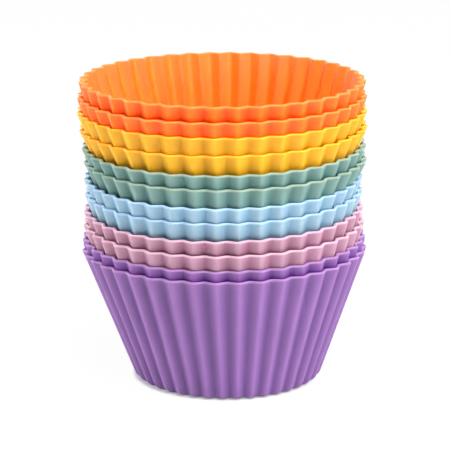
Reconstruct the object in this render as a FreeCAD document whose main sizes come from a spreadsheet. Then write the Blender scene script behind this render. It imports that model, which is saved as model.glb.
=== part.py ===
# A stack of twelve cupcake liners of moulded silicone, nested one in another.
# All twelve come out of one mould: a flat base, a bevelled corner and a wall that flares up to a
# wavy rim in forty upright flutes. Lengths are in millimetres. The origin is the middle of the
# underside of the lowest liner, which stands on the table. +Z is up and -Y is the front.

import FreeCAD, Part
import Sketcher
import math
import os
import sys

# The liner. Radii are taken at the ridges of the flutes, on the outside.
LINER_SIZES = [
    ("rim_radius", 35.0, "axis to a ridge at the rim"),
    ("base_radius", 23.0, "axis to a ridge where the line of the wall meets the table"),
    ("liner_height", 33.0, "table to rim"),
    ("wall", 0.95, "wall, measured along the radius at a ridge"),
    ("base_thickness", 1.2, "thickness of the flat base"),
    ("flute_count", 40, "flutes round the wall"),
    ("flute_depth", 1.5, "ridge to valley at the rim, along the radius"),
    ("corner_cut", 1.8, "bevel between base and wall, outside"),
    ("inner_corner_cut", 1.4, "bevel between base and wall, inside"),
]

# The stack, from the table up. Lift is how far a liner stays above the place where its wall would
# touch the one below. That leaves it some play, and side and back are the shares of the play by
# which it sits off to the right and to the back of the one below.
STACK = [
    ("liner_01_purple", None, None, None),
    ("liner_02_purple", 0.13, -0.5, 0.6),
    ("liner_03_pink", 1.22, 0.2, -0.8),
    ("liner_04_pink", 0.92, -0.2, 0.8),
    ("liner_05_blue", 1.65, 0.3, 0.8),
    ("liner_06_blue", 0.95, -0.3, -0.8),
    ("liner_07_sage", 1.80, 0.8, -0.4),
    ("liner_08_sage", 0.75, -0.8, 0.3),
    ("liner_09_yellow", 1.82, 0.1, 0.85),
    ("liner_10_yellow", 1.63, -0.5, -0.7),
    ("liner_11_orange", 1.06, 0.2, -0.8),
    ("liner_12_orange", 1.14, 0.3, 0.8),
]

# What follows from the sizes, as expressions for the document.
FLARE = "((dims.rim_radius - dims.base_radius) / dims.liner_height)"
VALLEY_SHARE = "(1 - dims.flute_depth / dims.rim_radius)"
HALF_FLUTE = "(180deg / dims.flute_count)"
# The flank between a ridge and a valley lies nearer to the axis than the ridge does, by this share.
FLANK_SHARE = (
    f"({VALLEY_SHARE} * sin({HALF_FLUTE})"
    f" / sqrt(1 + {VALLEY_SHARE} ^ 2 - 2 * {VALLEY_SHARE} * cos({HALF_FLUTE})))"
)
FLANK_DRAFT = f"atan({FLARE} * {FLANK_SHARE})"
FLOOR_RADIUS = f"dims.base_radius + {FLARE} * dims.base_thickness - dims.wall"
NEST_STEP = f"max(dims.wall / {FLARE}; dims.base_thickness)"

TOUCH = 1e-6


def make_sheet(doc):
    """Write every driving dimension into a sheet, one to a row, with its alias."""
    sheet = doc.addObject("Spreadsheet::Sheet", "dims")
    rows = list(LINER_SIZES)
    for number, (label, lift, side, back) in enumerate(STACK, start=1):
        if lift is not None:
            rows.append((f"lift_{number:02d}", lift, f"{label}, height above its tightest nesting"))
            rows.append((f"side_{number:02d}", side, f"{label}, share of the play to the right"))
            rows.append((f"back_{number:02d}", back, f"{label}, share of the play to the back"))
    for row, (alias, value, note) in enumerate(rows, start=1):
        sheet.set(f"A{row}", alias)
        sheet.set(f"B{row}", str(value))
        sheet.set(f"C{row}", note)
        sheet.setAlias(f"B{row}", alias)
    doc.recompute()


def origin_part(body, role):
    """Return one of the body's own origin planes or axes."""
    return next(part for part in body.Origin.OriginFeatures if part.Role == role)


def fluted_outline(body, name, height, ridge):
    """Draw the outline of the flutes in plan, with a valley on the X axis.

    Valleys and ridges take turns on two circles, and the sides between them are all of one length.
    The height and the ridge radius are expressions.
    """
    sketch = body.newObject("Sketcher::SketchObject", name)
    sketch.AttachmentSupport = (origin_part(body, "XY_Plane"), [""])
    sketch.MapMode = "FlatFace"
    sketch.setExpression("AttachmentOffset.Base.z", height)
    valley = f"({ridge}) * {VALLEY_SHARE}"
    radii = {"valley_radius": valley, "ridge_radius": ridge}
    start_radii = [body.evalExpression(radius) for radius in radii.values()]
    sides = 2 * int(body.evalExpression("dims.flute_count"))
    corners = []
    for side in range(sides):
        angle = 2 * math.pi * side / sides
        corners.append(FreeCAD.Vector(math.cos(angle), math.sin(angle), 0) * start_radii[side % 2])
    following = corners[1:] + corners[:1]
    sketch.addGeometry([Part.LineSegment(start, end) for start, end in zip(corners, following)], False)
    circles = []
    rules = [Sketcher.Constraint("PointOnObject", 0, 1, -1)]
    for radius in start_radii:
        circle = Part.Circle(FreeCAD.Vector(0, 0, 0), FreeCAD.Vector(0, 0, 1), radius)
        circles.append(sketch.addGeometry(circle, True))
        rules.append(Sketcher.Constraint("Coincident", circles[-1], 3, -1, 1))
    for side in range(sides):
        rules.append(Sketcher.Constraint("Coincident", side, 2, (side + 1) % sides, 1))
        rules.append(Sketcher.Constraint("PointOnObject", side, 1, circles[side % 2]))
        if side > 0:
            rules.append(Sketcher.Constraint("Equal", 0, side))
    sketch.addConstraint(rules)
    for circle, radius, (label, expression) in zip(circles, start_radii, radii.items()):
        index = sketch.addConstraint(Sketcher.Constraint("Radius", circle, radius))
        sketch.renameConstraint(index, label)
        sketch.setExpression(f"Constraints.{label}", expression)
    return sketch


def upright_faces(feature, bottom):
    """Name the upright faces whose lower edge is at a height."""
    names = []
    for number, face in enumerate(feature.Shape.Faces, start=1):
        if abs(face.BoundBox.ZMin - bottom) < TOUCH and abs(face.normalAt(0, 0).z) < TOUCH:
            names.append(f"Face{number}")
    return names


def level_face(feature, height):
    """Name the flat face at a height."""
    for number, face in enumerate(feature.Shape.Faces, start=1):
        if max(abs(face.BoundBox.ZMin - height), abs(face.BoundBox.ZMax - height)) < TOUCH:
            return [f"Face{number}"]
    sys.exit(f"no flat face at {height}")


def draft(body, name, base, faces, neutral, outward):
    """Lean upright faces away from the axis, about the plane where they start."""
    feature = body.newObject("PartDesign::Draft", name)
    feature.Base = (base, faces)
    feature.NeutralPlane = (neutral, [""])
    feature.Reversed = outward
    feature.setExpression("Angle", FLANK_DRAFT)
    body.Document.recompute()
    return feature


def bevel(body, name, base, faces, cut):
    """Bevel every edge of a face by a cut from the sheet."""
    feature = body.newObject("PartDesign::Chamfer", name)
    feature.Base = (base, faces)
    feature.setExpression("Size", cut)
    body.Document.recompute()
    return feature


def make_form(doc):
    """Model the moulding that every liner in the stack is a copy of."""
    form = doc.addObject("PartDesign::Body", "liner_form")
    base_thickness = doc.dims.base_thickness

    # The fluted outside: straight up, leaned out, and bevelled round the base.
    block = form.newObject("PartDesign::Pad", "block")
    block.Profile = fluted_outline(form, "base_outline", "0", "dims.base_radius")
    block.setExpression("Length", "dims.liner_height")
    doc.recompute()
    outside = draft(form, "outside_flare", block, upright_faces(block, 0), origin_part(form, "XY_Plane"), True)
    corner = bevel(form, "outside_corner", outside, level_face(outside, 0), "dims.corner_cut")

    # The inside, cut upwards from the floor, leaned out in the same way, with its own bevel.
    cavity = form.newObject("PartDesign::Pocket", "cavity")
    cavity.Profile = fluted_outline(form, "floor_outline", "dims.base_thickness", FLOOR_RADIUS)
    cavity.Reversed = True
    cavity.setExpression("Length", "dims.liner_height - dims.base_thickness")
    floor_plane = form.newObject("PartDesign::Plane", "floor_plane")
    floor_plane.AttachmentSupport = (origin_part(form, "XY_Plane"), [""])
    floor_plane.MapMode = "FlatFace"
    floor_plane.setExpression("AttachmentOffset.Base.z", "dims.base_thickness")
    doc.recompute()
    inside = draft(form, "inside_flare", cavity, upright_faces(cavity, base_thickness), floor_plane, False)
    bevel(form, "inside_corner", inside, level_face(inside, base_thickness), "dims.inner_corner_cut")

    volumes = [feature.Shape.Volume for feature in (block, outside, corner, cavity, inside, form)]
    grows = [later > earlier for earlier, later in zip(volumes, volumes[1:])]
    if grows != [True, False, False, False, True]:
        sys.exit(f"a step of the form went the wrong way: {volumes}")
    return form


def nest_liner(doc, form, number, label, below):
    """Add one liner, copied from the form and nested in the one below it."""
    liner = doc.addObject("PartDesign::Body", label)
    liner.Label = label
    moulding = liner.newObject("PartDesign::FeatureBase", f"{label}_moulding")
    moulding.BaseFeature = form
    liner.Tip = moulding
    if below is not None:
        lift = f"dims.lift_{number:02d}"
        play = f"{lift} * {FLARE} * {FLANK_SHARE}"
        steps = {
            "x": f"dims.side_{number:02d} * {play}",
            "y": f"dims.back_{number:02d} * {play}",
            "z": f"{NEST_STEP} + {lift}",
        }
        for axis, step in steps.items():
            place = f"Placement.Base.{axis}"
            liner.setExpression(place, f"{below.Name}.{place} + ({step}) * 1mm")
    return liner


def check(doc, liners):
    """Stop before anything is written if a feature failed or a solid isn't sound."""
    failed = [item.Name for item in doc.Objects if {"Invalid", "Error"} & set(item.State)]
    if failed:
        sys.exit(f"failed features: {failed}")
    for liner in liners:
        shape = liner.Shape
        if shape.isNull() or not shape.isValid() or len(shape.Solids) != 1:
            sys.exit(f"{liner.Label} isn't one sound solid")


def main():
    doc = FreeCAD.newDocument("cupcake_liners")
    make_sheet(doc)
    form = make_form(doc)
    liners = []
    for number, (label, *_) in enumerate(STACK, start=1):
        below = liners[-1] if liners else None
        liners.append(nest_liner(doc, form, number, label, below))
    doc.recompute()
    check(doc, liners)
    os.makedirs("parts", exist_ok=True)
    for liner in liners:
        liner.Shape.exportStep(f"parts/{liner.Label}.step")
        print(f"{liner.Label}: base at {liner.Placement.Base.z:.2f}, {liner.Shape.Volume / 1000:.2f} cm3")


main()
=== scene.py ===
"""A stack of twelve silicone cupcake liners, nested one in another, on a pale studio floor.

Every liner is one moulding: a flat base, a rounded corner and a wall that flares up to a wavy rim.
Its place and size come from the frame, and its flutes, rounded edges and finish are made here.
"""

import logging
import math
from dataclasses import dataclass, field
from enum import Enum

import bpy
import numpy as np
from mathutils import Matrix, Vector


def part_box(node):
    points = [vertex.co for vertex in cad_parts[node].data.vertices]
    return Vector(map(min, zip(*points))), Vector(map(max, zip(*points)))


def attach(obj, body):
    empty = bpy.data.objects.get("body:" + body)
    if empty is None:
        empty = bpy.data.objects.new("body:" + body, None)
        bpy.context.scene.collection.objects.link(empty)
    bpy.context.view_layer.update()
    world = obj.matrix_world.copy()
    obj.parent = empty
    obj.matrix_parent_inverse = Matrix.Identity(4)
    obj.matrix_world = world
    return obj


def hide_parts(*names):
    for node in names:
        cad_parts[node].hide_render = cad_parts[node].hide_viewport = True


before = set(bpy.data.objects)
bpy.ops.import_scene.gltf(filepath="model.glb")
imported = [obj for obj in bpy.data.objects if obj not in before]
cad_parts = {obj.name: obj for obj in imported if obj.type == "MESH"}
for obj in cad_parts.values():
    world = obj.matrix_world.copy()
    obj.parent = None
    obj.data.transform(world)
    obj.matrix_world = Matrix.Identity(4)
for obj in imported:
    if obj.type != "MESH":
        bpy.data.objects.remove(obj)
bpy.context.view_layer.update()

MM = 0.001

# Radius and height of a point of the section.
Point = tuple[float, float]

# Blender's noise mostly stays between these two values.
NOISE_LOW, NOISE_HIGH = 0.3, 0.7

# Sockets of the Mix node for colours. Its types share their socket names, so these go by number.
MIX_FACTOR, MIX_A, MIX_B = 0, 6, 7
MIX_RESULT = 2

logging.basicConfig(level=logging.INFO, format="%(message)s")
log = logging.getLogger("liners")


def to_linear(hex_colour: str) -> tuple[float, float, float, float]:
    """Turn an sRGB hex colour into the linear values that the shaders take.

    Args:
        hex_colour: Colour as "#RRGGBB".

    Returns:
        Linear red, green, blue and an alpha of 1.
    """
    channels = [int(hex_colour[start:start + 2], 16) / 255 for start in (1, 3, 5)]
    # The numbers are those of the sRGB standard.
    linear = [c / 12.92 if c <= 0.04045 else ((c + 0.055) / 1.055) ** 2.4 for c in channels]
    return (*linear, 1.0)


def add_node(
    tree: bpy.types.NodeTree,
    kind: str,
    settings: dict | None = None,
    inputs: dict | None = None,
) -> bpy.types.Node:
    """Add one node with its settings, its values and the links into it.

    Args:
        tree: Node tree that the node goes into.
        kind: Blender's name of the node type.
        settings: Attributes of the node, by name.
        inputs: Values or output sockets, by the name or number of the input that takes them.

    Returns:
        The new node.
    """
    node = tree.nodes.new(kind)
    for name, value in (settings or {}).items():
        setattr(node, name, value)
    for name, value in (inputs or {}).items():
        if isinstance(value, bpy.types.NodeSocket):
            tree.links.new(value, node.inputs[name])
        else:
            node.inputs[name].default_value = value
    return node


def new_tree(name: str) -> tuple[bpy.types.Material, bpy.types.NodeTree]:
    """Make an empty material and return it with its node tree."""
    material = bpy.data.materials.new(name)
    material.use_nodes = True
    material.node_tree.nodes.clear()
    return material, material.node_tree


@dataclass(frozen=True)
class MouldedSilicone:
    """Food-grade silicone rubber, pigmented right through and moulded in a satin-blasted tool.

    The eye reads it as soft and matt: a broad weak highlight, a little light that gets through the
    thin wall, and cloudy pigment that is never quite even. Its colour also carries painted light
    and
    shade: lit ridges and shaded hollows, a painted highlight and glow on the lip, and painted shade
    where the rim below keeps light from the wall.
    """

    name: str
    # Painted light and shade of the flutes: the lit colour of the ridges and the shaded colour of
    # the hollows.
    ridge_lit_colour: str
    hollow_shaded_colour: str
    # Painted highlight of the lip, where top light catches the rim and comes through its thin wall.
    # It also tints the sheen.
    lip_highlight_colour: str
    # Silicone rubber has an index of about 1.41, lower than most plastics.
    ior: float = 1.41
    # The satin finish, and how much it varies with the pigment.
    roughness: float = 0.52
    roughness_swing: float = 0.05
    # Fine dust and bloom on the tacky surface pale it where it is seen edge on.
    sheen: float = 0.1
    sheen_roughness: float = 0.4
    # How far light spreads in the pigmented rubber, how much of it does, and each colour's share.
    scatter_mm: float = 0.8
    scatter_weight: float = 0.35
    scatter_rgb: tuple[float, float, float] = (1.0, 0.6, 0.4)
    # The blasted tool leaves a grain of about 0.15 mm, drawn at 0.4 mm so that it shows.
    grain_mm: float = 0.4
    grain_height_mm: float = 0.006
    grain_strength: float = 0.5
    grain_detail: float = 2.0
    # Painted shade: the colour is more saturated by this share where the rim below keeps light from
    # the wall, standing in for light that goes to and fro between two close walls.
    painted_bounce_saturation: float = 0.25
    # Pigment mixes unevenly over about a fingertip.
    cloud_mm: float = 9.0
    cloud_strength: float = 0.08
    cloud_detail: float = 3.0

    def build(self) -> bpy.types.Material:
        """Make the material.

        Returns:
            The finished material.
        """
        material, tree = new_tree(self.name)
        place = add_node(tree, "ShaderNodeTexCoord")
        clouds = add_node(
            tree, "ShaderNodeTexNoise", {"noise_dimensions": "3D"},
            {"Vector": place.outputs["Object"], "Scale": 1 / (self.cloud_mm * MM),
             "Detail": self.cloud_detail},
        )
        shade = add_node(
            tree, "ShaderNodeMapRange", {},
            {"Value": clouds.outputs["Fac"], "From Min": NOISE_LOW, "From Max": NOISE_HIGH,
             "To Min": 1 - self.cloud_strength, "To Max": 1.0},
        )
        # Painted light and shade of the flutes: ridges take the lit colour and hollows the shaded
        # one.
        relief_light = add_node(tree, "ShaderNodeAttribute", {"attribute_name": LinerMoulding.RELIEF_LIGHT})
        relief_shaded = add_node(
            tree, "ShaderNodeMix", {"data_type": "RGBA", "clamp_factor": False},
            {MIX_FACTOR: relief_light.outputs["Fac"], MIX_A: to_linear(self.hollow_shaded_colour),
             MIX_B: to_linear(self.ridge_lit_colour)},
        )
        # Painted shade: the colour grows more saturated where the rim below keeps light from the
        # wall.
        sheltered = add_node(
            tree, "ShaderNodeAttribute", {"attribute_name": LinerMoulding.SHELTERED},
        )
        depth = add_node(
            tree, "ShaderNodeMath", {"operation": "MULTIPLY_ADD"},
            {0: sheltered.outputs["Fac"], 1: self.painted_bounce_saturation, 2: 1.0},
        )
        clouded_and_shaded = add_node(
            tree, "ShaderNodeHueSaturation", {},
            {"Color": relief_shaded.outputs[MIX_RESULT], "Saturation": depth.outputs["Value"],
             "Value": shade.outputs["Result"]},
        )
        # Painted highlight on the lip, with a painted glow below it.
        lip = add_node(tree, "ShaderNodeAttribute", {"attribute_name": LinerMoulding.LIP_HIGHLIGHT})
        paint = add_node(
            tree, "ShaderNodeMix", {"data_type": "RGBA"},
            {MIX_FACTOR: lip.outputs["Fac"], MIX_A: clouded_and_shaded.outputs["Color"],
             MIX_B: to_linear(self.lip_highlight_colour)},
        )
        grain = add_node(
            tree, "ShaderNodeTexNoise", {"noise_dimensions": "3D"},
            {"Vector": place.outputs["Object"], "Scale": 1 / (self.grain_mm * MM),
             "Detail": self.grain_detail},
        )
        bump = add_node(
            tree, "ShaderNodeBump", {},
            {"Height": grain.outputs["Fac"], "Strength": self.grain_strength,
             "Distance": self.grain_height_mm * MM},
        )
        polish = add_node(
            tree, "ShaderNodeMapRange", {},
            {"Value": clouds.outputs["Fac"], "From Min": NOISE_LOW, "From Max": NOISE_HIGH,
             "To Min": self.roughness - self.roughness_swing,
             "To Max": self.roughness + self.roughness_swing},
        )
        rubber = add_node(
            tree, "ShaderNodeBsdfPrincipled", {"subsurface_method": "RANDOM_WALK"},
            {"Base Color": paint.outputs[MIX_RESULT], "Roughness": polish.outputs["Result"],
             "Normal": bump.outputs["Normal"], "IOR": self.ior,
             "Subsurface Weight": self.scatter_weight, "Subsurface Scale": self.scatter_mm * MM,
             "Subsurface Radius": self.scatter_rgb,
             "Sheen Weight": self.sheen, "Sheen Roughness": self.sheen_roughness,
             "Sheen Tint": to_linear(self.lip_highlight_colour)},
        )
        add_node(tree, "ShaderNodeOutputMaterial", {}, {"Surface": rubber.outputs["BSDF"]})
        return material


class Colour(Enum):
    """The six colours that the liners are moulded in."""

    # Each colour is given as its lit ridge, its shaded hollow and its lip highlight: painted light
    # and shade on one pigment.
    PURPLE = MouldedSilicone("moulded_silicone_purple", "#8D63A2", "#684582", "#976FA4",
                             scatter_rgb=(0.8, 0.6, 1.0))
    PINK = MouldedSilicone("moulded_silicone_pink", "#B38A9E", "#94627B", "#C098AA")
    BLUE = MouldedSilicone("moulded_silicone_blue", "#95B1C0", "#759CB3", "#93B0CC")
    SAGE = MouldedSilicone("moulded_silicone_sage", "#769892", "#4E7571", "#819686")
    # Warm pigments let red light through and little else, so their hollows glow red, not brown.
    YELLOW = MouldedSilicone("moulded_silicone_yellow", "#E4AA1A", "#CC9403", "#F6A21B",
                             scatter_weight=0.5, scatter_rgb=(1.3, 0.6, 0.2))
    ORANGE = MouldedSilicone("moulded_silicone_orange", "#FF7404", "#F15504", "#FF7C2F",
                             scatter_weight=0.5, scatter_rgb=(1.3, 0.4, 0.15), sheen=0.0)

    def slot(self) -> str:
        """Name the record's material slot."""
        return f"silicone_{self.name.lower()}"


@dataclass(frozen=True)
class Settling:
    """How the soft rim of one liner has settled.

    Attributes:
        shift_mm: Rim moved to the right.
        squeeze_mm: Rim pressed in at each side.
        tilt_deg: Rim higher on the right.
    """

    shift_mm: float = 0.0
    squeeze_mm: float = 0.0
    tilt_deg: float = 0.0


@dataclass(frozen=True)
class Place:
    """One liner of the stack: the frame's node, its colour and how its rim has settled."""

    node: str
    colour: Colour
    settling: Settling = Settling()

    @property
    def base_mm(self) -> float:
        """Height of the liner's underside."""
        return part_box(self.node)[0][2] / MM

    @property
    def rim_mm(self) -> float:
        """Height of the liner's rim."""
        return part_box(self.node)[1][2] / MM

    @property
    def axis_mm(self) -> tuple[float, float]:
        """X and Y of the liner's axis."""
        low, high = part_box(self.node)
        return (low[0] + high[0]) / 2 / MM, (low[1] + high[1]) / 2 / MM


@dataclass(frozen=True)
class LinerMoulding:
    """The liner's form, in millimetres, with radii at the ridges of the flutes.

    Its points carry three shares, as attributes that the silicone is painted by, and each paints
    light or shade. LIP_HIGHLIGHT is 1 on the lip of the rim, its painted highlight, and fades below
    it as a painted glow. RELIEF_LIGHT is 1 on a lit ridge and 0 in a shaded hollow, and higher
    inside, where it paints more light. SHELTERED is highest where the rim below keeps light from
    the wall, and paints shade there.
    """

    rim_radius: float
    height: float
    base_radius: float = 23.0
    wall: float = 0.95
    base_thickness: float = 1.2
    corner_radius: float = 3.0
    inner_corner_radius: float = 2.2
    lip_radius: float = 0.3
    flutes: int = 40
    flute_depth: float = 1.3
    # Share of the third harmonic, which narrows the ridges and valleys and straightens the flanks.
    crispness: float = 0.08
    # Columns and rows of the mesh.
    columns_per_flute: int = 12
    wall_rows: int = 14
    arc_rows: int = 6
    lip_rows: int = 4
    # Rows of points this far below the lip.
    rim_steps_mm: tuple[float, ...] = (0.12, 0.45, 0.9, 1.5, 2.2)
    # Painted glow just below the lip, for light that comes through the thin wall; it fades out over
    # this depth.
    glow_mm: float = 0.9
    glow: float = 0.3
    # Painted light on the crests of the ridges outside, as a painted highlight: the higher, the
    # narrower.
    crest_highlight_power: float = 1.3
    # Inside, the painted light follows the flutes by this share and is stronger all over by the
    # other.
    inner_contrast: float = 0.4
    inner_painted_light: float = 0.32

    LIP_HIGHLIGHT = "lip"
    RELIEF_LIGHT = "relief_light"
    SHELTERED = "sheltered"

    @property
    def flare(self) -> float:
        """Widening of the wall with height."""
        return (self.rim_radius - self.base_radius) / self.height

    def arc(
        self, centre: Point, radius: float, start: float, end: float, rows: int,
    ) -> list[Point]:
        """List points along an arc.

        Args:
            centre: Radius and height of its centre.
            radius: Radius of the arc.
            start: Angle of the first point, from the outward direction, in radians.
            end: Angle of the last point.
            rows: Number of steps.

        Returns:
            Radius and height of each point, both ends included.
        """
        angles = np.linspace(start, end, rows + 1)
        return [
            (centre[0] + radius * math.cos(angle), centre[1] + radius * math.sin(angle))
            for angle in angles
        ]

    def corner(self, foot_radius: float, floor: float, radius: float) -> list[Point]:
        """List points of the rounded corner between a floor and the wall, from the floor up.

        Args:
            foot_radius: Radius at which the line of the wall meets the floor.
            floor: Height of the floor.
            radius: Radius of the corner.

        Returns:
            Radius and height of each point.
        """
        lean = math.atan(self.flare)
        turn = math.pi / 2 - lean
        centre = (foot_radius - radius * math.tan(turn / 2), floor + radius)
        return self.arc(centre, radius, -math.pi / 2, -lean, self.arc_rows)

    def profile(self) -> tuple[np.ndarray, np.ndarray, np.ndarray, np.ndarray]:
        """Trace the section from the middle of the underside, over the rim, to that of the floor.

        Returns:
            Radius and height of each point at a ridge, how much of each point is painted lip
            highlight and glow, how much the painted light follows the flutes there, and whether the
            point is inside.
        """
        lean = math.atan(self.flare)
        outer_corner = self.corner(self.base_radius, 0.0, self.corner_radius)
        inner_foot = self.base_radius + self.flare * self.base_thickness - self.wall
        inner_corner = self.corner(inner_foot, self.base_thickness, self.inner_corner_radius)
        top = self.height - self.lip_radius
        # The lip's two arcs touch the outside and the inside of the wall.
        outside = self.rim_radius - self.flare * self.lip_radius
        inset = self.lip_radius / math.cos(lean)
        outer_lip = self.arc(
            (outside - inset, top), self.lip_radius, -lean, math.pi / 2, self.lip_rows,
        )
        inner_lip = self.arc(
            (outside - self.wall + inset, top), self.lip_radius, math.pi / 2, math.pi - lean,
            self.lip_rows,
        )
        outer_wall = self.wall_run(outer_corner[-1], outer_lip[0])
        inner_wall = self.wall_run(inner_corner[-1], inner_lip[-1])[::-1]
        half_floor = (outer_corner[0][0] / 2, 0.0)
        half_inner_floor = (inner_corner[0][0] / 2, self.base_thickness)
        points = [half_floor] + outer_corner + outer_wall + outer_lip + inner_lip + inner_wall
        points += inner_corner[::-1] + [half_inner_floor]
        first_lip = 1 + len(outer_corner) + len(outer_wall)
        first_inner = first_lip + len(outer_lip)
        # Painted highlight on the lip and a painted glow that fades below it.
        depth = top - np.array([point[1] for point in points])
        lip = self.glow * np.exp(-np.maximum(depth, 0.0) / self.glow_mm)
        lip[first_lip:first_inner + len(inner_lip)] = 1.0
        inside = np.arange(len(points)) >= first_inner
        contrast = np.where(inside, self.inner_contrast, 1.0)
        # The underside and the floor are flat, so the painted light of the flutes is even there.
        contrast[[0, 1, -2, -1]] = 0.0
        return np.array(points), lip, contrast, inside

    def wall_run(self, foot: Point, lip: Point) -> list[Point]:
        """List the points that divide the straight wall, from its foot up, without its ends.

        Short steps at each end keep the shading of a rounded edge from spreading over the wall.

        Args:
            foot: Where the wall leaves the corner.
            lip: Where it meets the lip.

        Returns:
            Radius and height of each point.
        """
        length = math.dist(foot, lip)
        below_lip = [depth / length for depth in self.rim_steps_mm]
        shares = np.concatenate([
            np.linspace(self.rim_steps_mm[0] / length, 1 - below_lip[-1], self.wall_rows + 1),
            1 - np.array(below_lip[-2::-1]),
        ])
        return [
            (foot[0] + (lip[0] - foot[0]) * share, foot[1] + (lip[1] - foot[1]) * share)
            for share in shares
        ]

    def rings(self) -> tuple[np.ndarray, np.ndarray, np.ndarray]:
        """Turn the section round the axis and press the flutes into it.

        Returns:
            Points as rows by columns by X, Y, Z about the liner's own foot, and the painted lip
            highlight share and painted light share of each.
        """
        points, lip, contrast, inside = self.profile()
        angles = np.linspace(0, 2 * math.pi, self.flutes * self.columns_per_flute, endpoint=False)
        # The wave is 1 in a valley and -1 on a ridge. As in the frame, a valley lies on the X axis
        # and the flutes shrink with the radius.
        wave = np.cos(self.flutes * angles) + self.crispness * np.cos(3 * self.flutes * angles)
        wave /= 1 + self.crispness
        radius = points[:, :1] * (1 - self.flute_depth / self.rim_radius * (1 + wave) / 2)
        height = np.repeat(points[:, 1:], len(angles), axis=1)
        rings = np.stack([radius * np.cos(angles), radius * np.sin(angles), height], axis=2)
        # Painted light and shade: 1 on a lit ridge and 0 in a shaded hollow, narrowed to the crests
        # outside as a painted highlight and raised inside as painted light.
        relief_light = (1 - contrast[:, None] * wave) / 2
        relief_light = np.where(inside[:, None], relief_light + self.inner_painted_light, relief_light ** self.crest_highlight_power)
        return rings, np.repeat(lip, len(angles)), relief_light.ravel()


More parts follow.
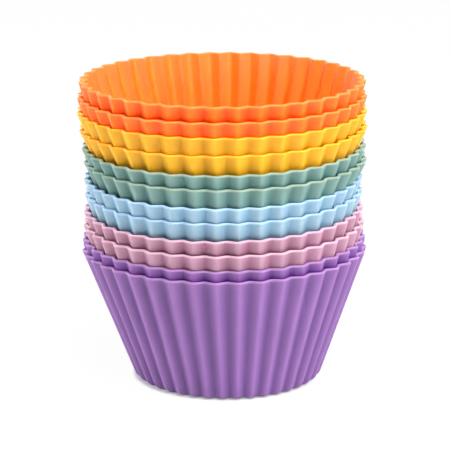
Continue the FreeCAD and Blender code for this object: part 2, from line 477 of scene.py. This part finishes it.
@dataclass
class LinerStack:
    """The nested liners, from the table up."""

    places: list[Place] = field(default_factory=lambda: [
        Place("liner_01_purple", Colour.PURPLE, Settling(0.1, -0.45, -0.36)),
        Place("liner_02_purple", Colour.PURPLE, Settling(0.0, 0.2, -0.45)),
        Place("liner_03_pink", Colour.PINK, Settling(0.0, 0.3, -0.26)),
        Place("liner_04_pink", Colour.PINK, Settling(0.0, 0.6, 0.18)),
        Place("liner_05_blue", Colour.BLUE, Settling(0.0, 0.8, -0.01)),
        Place("liner_06_blue", Colour.BLUE, Settling(0.0, 0.7, -0.37)),
        Place("liner_07_sage", Colour.SAGE, Settling(0.2, 0.15, -0.22)),
        Place("liner_08_sage", Colour.SAGE, Settling(-0.05, 0.14, -0.2)),
        Place("liner_09_yellow", Colour.YELLOW, Settling(-0.1, -0.38, -0.02)),
        Place("liner_10_yellow", Colour.YELLOW, Settling(-0.08, -0.55, -0.68)),
        Place("liner_11_orange", Colour.ORANGE, Settling(-0.12, -0.42, -0.37)),
        Place("liner_12_orange", Colour.ORANGE, Settling(-0.1, 0.1, -0.8)),
    ])
    # Neighbouring rims push on each other over about this height.
    blend_mm: float = 2.2
    # The whole stack leans a little to the left on its flat foot, and its rims sit to the left too.
    lean_deg: float = 0.85
    slide_mm: float = -0.4
    # It leans about this height, so that it stays as near as it can to where the frame has it.
    pivot_mm: float = 40.0
    # Rims nearer than the first distance keep light from the wall between them, and rims nearer
    # than the second do so fully.
    open_gap_mm: float = 3.6
    closed_gap_mm: float = 2.7
    # Painted shade: the painted light of the flutes is weaker by this share at the lower rim, and
    # that fades out over this height.
    shelter_shade: float = 0.6
    shelter_shade_mm: float = 1.5

    def moulding(self) -> LinerMoulding:
        """Read the size of the moulding from the lowest liner of the frame."""
        low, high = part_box(self.places[0].node)
        # A valley lies on the X axis, so the widest ridges are half a flute away from it.
        ridge_reach = math.cos(math.pi / LinerMoulding.flutes)
        return LinerMoulding(
            rim_radius=(high[0] - low[0]) / 2 / MM / ridge_reach,
            height=(high[2] - low[2]) / MM,
        )

    def settle(self, points: np.ndarray) -> np.ndarray:
        """Press the whole stack into the shape that its soft rims have settled in.

        The press depends only on where a point is, so liners that were clear of each other stay so.

        Args:
            points: Points in the frame, in millimetres, with X, Y, Z last.

        Returns:
            The settled points.
        """
        rims = np.array([place.rim_mm for place in self.places])
        settlings = [place.settling for place in self.places]
        values = np.array([[s.shift_mm, s.squeeze_mm, s.tilt_deg] for s in settlings])
        height = points[..., 2]
        level = np.maximum(height, rims[0])
        nearness = np.exp(-(((level[..., None] - rims) / self.blend_mm) ** 2) / 2)
        nearness /= nearness.sum(axis=-1, keepdims=True)
        # Below the lowest rim the press fades evenly to nothing at the table.
        fade = np.minimum(height / rims[0], 1.0)
        values += [self.slide_mm, 0.0, self.lean_deg]
        shift, squeeze, tilt = np.moveaxis(nearness @ values * fade[..., None], -1, 0)
        shift = shift + (self.pivot_mm - height) * math.sin(math.radians(self.lean_deg))
        rim_radius = self.moulding().rim_radius
        x, y = points[..., 0], points[..., 1]
        # What a rim loses in width it gains in depth, because its length stays the same.
        settled_x = x * (1 - squeeze / rim_radius) + shift
        settled_y = y * (1 + squeeze / rim_radius)
        settled_z = height + x * np.tan(np.radians(tilt))
        return np.stack([settled_x, settled_y, settled_z], axis=-1)

    def sheltered(self, place: Place, height: np.ndarray) -> np.ndarray:
        """Tell how much light the rim below keeps from a liner's outer wall.

        Args:
            place: The liner.
            height: Heights of its points in the frame, in millimetres.

        Returns:
            Share from 0 to 1 for each point.
        """
        order = self.places.index(place)
        if order == 0:
            return np.zeros_like(height)
        lower_rim = self.places[order - 1].rim_mm
        gap = place.rim_mm - lower_rim
        closeness = (self.open_gap_mm - gap) / (self.open_gap_mm - self.closed_gap_mm)
        fade = np.exp(-np.maximum(height - lower_rim, 0.0) / self.shelter_shade_mm)
        return min(max(closeness, 0.0), 1.0) * fade

    def build_liner(self, place: Place) -> bpy.types.Object:
        """Make one liner as a closed mesh where the frame has it.

        Args:
            place: The liner to make.

        Returns:
            The new object.
        """
        rings, lip, relief_light = self.moulding().rings()
        rings = rings + np.array([*place.axis_mm, place.base_mm])
        # Painted shade on the wall just above the rim below: less painted light there.
        sheltered = self.sheltered(place, rings[..., 2]).ravel() * (lip < 1)
        relief_light = relief_light - self.shelter_shade * sheltered
        rings = self.settle(rings)
        rows, columns, _ = rings.shape
        middles = [rings[0].mean(axis=0), rings[-1].mean(axis=0)]
        vertices = np.concatenate([rings.reshape(-1, 3), middles]) * MM
        row, column = np.meshgrid(np.arange(rows - 1), np.arange(columns), indexing="ij")
        following = (column + 1) % columns
        corners = [row * columns + column, row * columns + following,
                   (row + 1) * columns + following, (row + 1) * columns + column]
        faces = np.stack(corners, axis=-1).reshape(-1, 4).tolist()
        under, floor = rows * columns, rows * columns + 1
        last = (rows - 1) * columns
        for this in range(columns):
            after = (this + 1) % columns
            faces.append((under, after, this))
            faces.append((floor, last + this, last + after))
        mesh = bpy.data.meshes.new(f"moulded_{place.node}")
        mesh.from_pydata(vertices.tolist(), [], faces)
        mesh.shade_smooth()
        # The middles of the underside and the floor are neither ridge nor hollow.
        shares = {
            LinerMoulding.LIP_HIGHLIGHT: (lip, 0.0),
            LinerMoulding.RELIEF_LIGHT: (relief_light, 0.5),
            LinerMoulding.SHELTERED: (sheltered, 0.0),
        }
        for name, (share, middle) in shares.items():
            values = np.concatenate([share, [middle, middle]])
            mesh.attributes.new(name, "FLOAT", "POINT").data.foreach_set("value", values)
        silicone = place.colour.value
        mesh.materials.append(bpy.data.materials.get(silicone.name) or silicone.build())
        liner = bpy.data.objects.new(mesh.name, mesh)
        bpy.context.scene.collection.objects.link(liner)
        return liner

    def build(self) -> list[bpy.types.Object]:
        """Make every liner and tie it to the frame.

        Returns:
            The liners, from the table up.
        """
        liners = []
        for place in self.places:
            liner = self.build_liner(place)
            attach(liner, "root")
            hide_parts(place.node)
            place.colour.slot()
            faces = len(liner.data.polygons)
            log.info("%s: %d faces, rim at %.1f mm", liner.name, faces, place.rim_mm)
            liners.append(liner)
        return liners


@dataclass(frozen=True)
class Softbox:
    """A square lamp that is aimed at a point.

    Attributes:
        name: Name of the lamp.
        place_m: Where it stands.
        width_m: Width of its cloth.
        watts: Its power.
    """

    name: str
    place_m: tuple[float, float, float]
    width_m: float
    watts: float

    def build(self, aim: Vector) -> bpy.types.Object:
        """Hang the lamp and aim it.

        Args:
            aim: The point that it shines at.

        Returns:
            The lamp's object.
        """
        lamp = bpy.data.lights.new(self.name, "AREA")
        lamp.shape = "SQUARE"
        lamp.size = self.width_m
        lamp.energy = self.watts
        holder = bpy.data.objects.new(self.name, lamp)
        holder.location = self.place_m
        direction = aim - Vector(self.place_m)
        holder.rotation_euler = direction.to_track_quat("-Z", "Y").to_euler()
        bpy.context.scene.collection.objects.link(holder)
        return holder


@dataclass
class Studio:
    """Pale floor, soft light and a white surround."""

    floor_width_m: float = 6.0
    floor_colour: str = "#F4F4F4"
    # Share of the floor that the camera sees as plain white, so that only a faint shadow shows.
    floor_white: float = 0.97
    # The same at the foot of the stack, where its contact shadow shows.
    foot_white: float = 0.3
    # Distances from the stack's axis where the foot's share ends and the floor's share starts.
    foot_mm: float = 22.0
    clear_mm: float = 23.6
    surround_strength: float = 0.08
    softboxes: tuple[Softbox, ...] = (
        Softbox("overhead", (0.1, -0.3, 0.75), 0.6, 12.5),
        Softbox("front_high", (0.15, -0.5, 0.65), 0.6, 1.0),
        Softbox("side_right", (0.7, -0.28, 0.22), 0.6, 4.4),
        Softbox("side_left", (-0.72, 0.08, 0.1), 0.3, 3.0),
        Softbox("back_right", (0.65, 0.4, 0.1), 0.3, 1.4),
        Softbox("back_left", (-0.65, 0.35, 0.06), 0.2, 3.8),
    )

    def white_to_camera(self, tree: bpy.types.NodeTree) -> bpy.types.NodeSocket:
        """Tell the rays that see plain white: those from the camera and in mirrors and glass.

        Args:
            tree: Node tree of the floor or the surround.

        Returns:
            Socket that is 1 for these rays and 0 for the others.
        """
        ray = add_node(tree, "ShaderNodeLightPath")
        either = add_node(tree, "ShaderNodeMath", {"operation": "MAXIMUM"},
                          {0: ray.outputs["Is Camera Ray"], 1: ray.outputs["Is Glossy Ray"]})
        any_of_them = add_node(tree, "ShaderNodeMath", {"operation": "MAXIMUM"},
                               {0: either.outputs[0], 1: ray.outputs["Is Transmission Ray"]})
        return any_of_them.outputs[0]

    def build_floor(self) -> bpy.types.Object:
        """Lay the floor that the stack stands on."""
        half = self.floor_width_m / 2
        mesh = bpy.data.meshes.new("studio_floor")
        corners = [(-half, -half, 0), (half, -half, 0), (half, half, 0), (-half, half, 0)]
        mesh.from_pydata(corners, [], [(0, 1, 2, 3)])
        material, tree = new_tree("painted_floor_board")
        paint = add_node(
            tree, "ShaderNodeBsdfDiffuse", {}, {"Color": to_linear(self.floor_colour)},
        )
        white = add_node(tree, "ShaderNodeEmission", {}, {"Strength": 1.0})
        place = add_node(tree, "ShaderNodeTexCoord")
        distance = add_node(
            tree, "ShaderNodeVectorMath", {"operation": "LENGTH"}, {0: place.outputs["Object"]},
        )
        whiteness = add_node(
            tree, "ShaderNodeMapRange", {"interpolation_type": "SMOOTHSTEP"},
            {"Value": distance.outputs["Value"],
             "From Min": self.foot_mm * MM, "From Max": self.clear_mm * MM,
             "To Min": self.foot_white, "To Max": self.floor_white},
        )
        share = add_node(tree, "ShaderNodeMath", {"operation": "MULTIPLY"},
                         {0: self.white_to_camera(tree), 1: whiteness.outputs["Result"]})
        mix = add_node(tree, "ShaderNodeMixShader", {},
                       {0: share.outputs[0], 1: paint.outputs[0], 2: white.outputs[0]})
        add_node(tree, "ShaderNodeOutputMaterial", {}, {"Surface": mix.outputs[0]})
        mesh.materials.append(material)
        floor = bpy.data.objects.new("studio_floor", mesh)
        bpy.context.scene.collection.objects.link(floor)
        return floor

    def build_surround(self) -> None:
        """Light the scene evenly from all round, and show plain white behind it."""
        world = bpy.data.worlds.new("studio")
        world.use_nodes = True
        tree = world.node_tree
        tree.nodes.clear()
        lit = add_node(tree, "ShaderNodeBackground", {}, {"Strength": self.surround_strength})
        white = add_node(tree, "ShaderNodeBackground", {}, {"Strength": 1.0})
        mix = add_node(tree, "ShaderNodeMixShader", {},
                       {0: self.white_to_camera(tree), 1: lit.outputs[0], 2: white.outputs[0]})
        add_node(tree, "ShaderNodeOutputWorld", {}, {"Surface": mix.outputs[0]})
        bpy.context.scene.world = world

    def build(self, aim: Vector) -> None:
        """Set up the floor, the lamps and the surround."""
        self.build_floor()
        self.build_surround()
        for softbox in self.softboxes:
            softbox.build(aim)


@dataclass(frozen=True)
class PhotoCamera:
    """The camera at the photograph's viewing angle.

    Attributes:
        distance_m: From the camera to the point that it aims at.
        azimuth_deg: Turn about the stack.
        elevation_deg: Height above the horizon.
        aim_side_m: How far the aim lies to the right of the stack's axis.
        aim_height_m: Height of the aim.
        lens_mm: Focal length on a sensor of Blender's default width.
    """

    distance_m: float = 0.5546
    azimuth_deg: float = -1.2
    elevation_deg: float = 15.0
    aim_side_m: float = -0.00005
    aim_height_m: float = 0.03791
    lens_mm: float = 179.55

    @property
    def aim(self) -> Vector:
        """The point that the camera looks at."""
        turn = math.radians(self.azimuth_deg)
        return Vector((
            self.aim_side_m * math.cos(turn), self.aim_side_m * math.sin(turn), self.aim_height_m,
        ))

    def build(self) -> bpy.types.Object:
        """Place the camera and make it the scene's own.

        Returns:
            The camera's object.
        """
        data = bpy.data.cameras.new("photo_camera")
        data.lens = self.lens_mm
        camera = bpy.data.objects.new("photo_camera", data)
        turn = math.radians(self.azimuth_deg)
        rise = math.radians(self.elevation_deg)
        level = math.cos(rise)
        outward = Vector((math.sin(turn) * level, -math.cos(turn) * level, math.sin(rise)))
        look = Matrix.Rotation(turn, 4, "Z") @ Matrix.Rotation(math.pi / 2 - rise, 4, "X")
        camera.matrix_world = Matrix.Translation(self.aim + outward * self.distance_m) @ look
        bpy.context.scene.collection.objects.link(camera)
        bpy.context.scene.camera = camera
        return camera


def main() -> None:
    """Build the stack, the studio and the camera."""
    liners = LinerStack().build()
    log.info("%d liners in the stack", len(liners))
    camera = PhotoCamera()
    camera.build()
    Studio().build(camera.aim)
    bpy.context.scene.view_settings.view_transform = "Standard"


if __name__ == "__main__":
    main()
